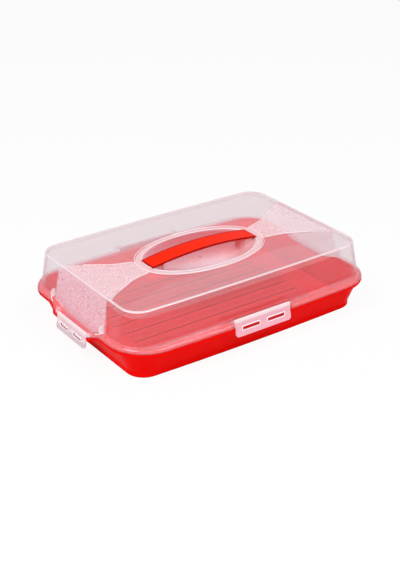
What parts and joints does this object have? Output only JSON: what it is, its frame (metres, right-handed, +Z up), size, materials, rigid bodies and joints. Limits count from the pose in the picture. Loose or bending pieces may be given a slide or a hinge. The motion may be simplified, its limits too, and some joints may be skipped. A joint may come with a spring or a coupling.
{
  "type": "cake carrier",
  "caption": "Oblong cake carrier: a flared tray under a clear lift-off hood with an arched carrying handle, held down by hinged clips on its sides and ends.",
  "frame": {"origin": "middle of the foot, on the surface the carrier stands on", "axes": "+X along the length, +Y towards the back clip, +Z up"},
  "size_m": [0.4294, 0.2984, 0.1006],
  "materials": {
    "tray_plastic": "satin red moulded polypropylene",
    "hood_plastic": "clear moulded plastic with frosted panels",
    "handle_plastic": "satin red moulded polypropylene",
    "clip_plastic": "milky translucent moulded polypropylene"
  },
  "bodies": {
    "tray": {"base_tray": "tray_plastic"},
    "hood": {"lid": "hood_plastic", "handle": "handle_plastic"},
    "front_clip": {"front_clip": "clip_plastic"},
    "back_clip": {"back_clip": "clip_plastic"},
    "left_clip": {"left_clip": "clip_plastic"},
    "right_clip": {"right_clip": "clip_plastic"}
  },
  "joints": [
    {"name": "lid_lift", "type": "slide", "parent": "tray", "child": "hood", "axis": [0, 0, 1], "range_m": [0, 0.12]},
    {"name": "front_clip_hinge", "type": "hinge", "parent": "hood", "child": "front_clip", "pos_m": [0, -0.1434, 0.052], "axis": [-1, 0, 0], "range_deg": [0, 120]},
    {"name": "back_clip_hinge", "type": "hinge", "parent": "hood", "child": "back_clip", "pos_m": [0, 0.1434, 0.052], "axis": [1, 0, 0], "range_deg": [0, 120]},
    {"name": "left_clip_hinge", "type": "hinge", "parent": "hood", "child": "left_clip", "pos_m": [-0.2087, 0, 0.0386], "axis": [0, 1, 0], "range_deg": [0, 120]},
    {"name": "right_clip_hinge", "type": "hinge", "parent": "hood", "child": "right_clip", "pos_m": [0.2087, 0, 0.0386], "axis": [0, -1, 0], "range_deg": [0, 120]}
  ]
}
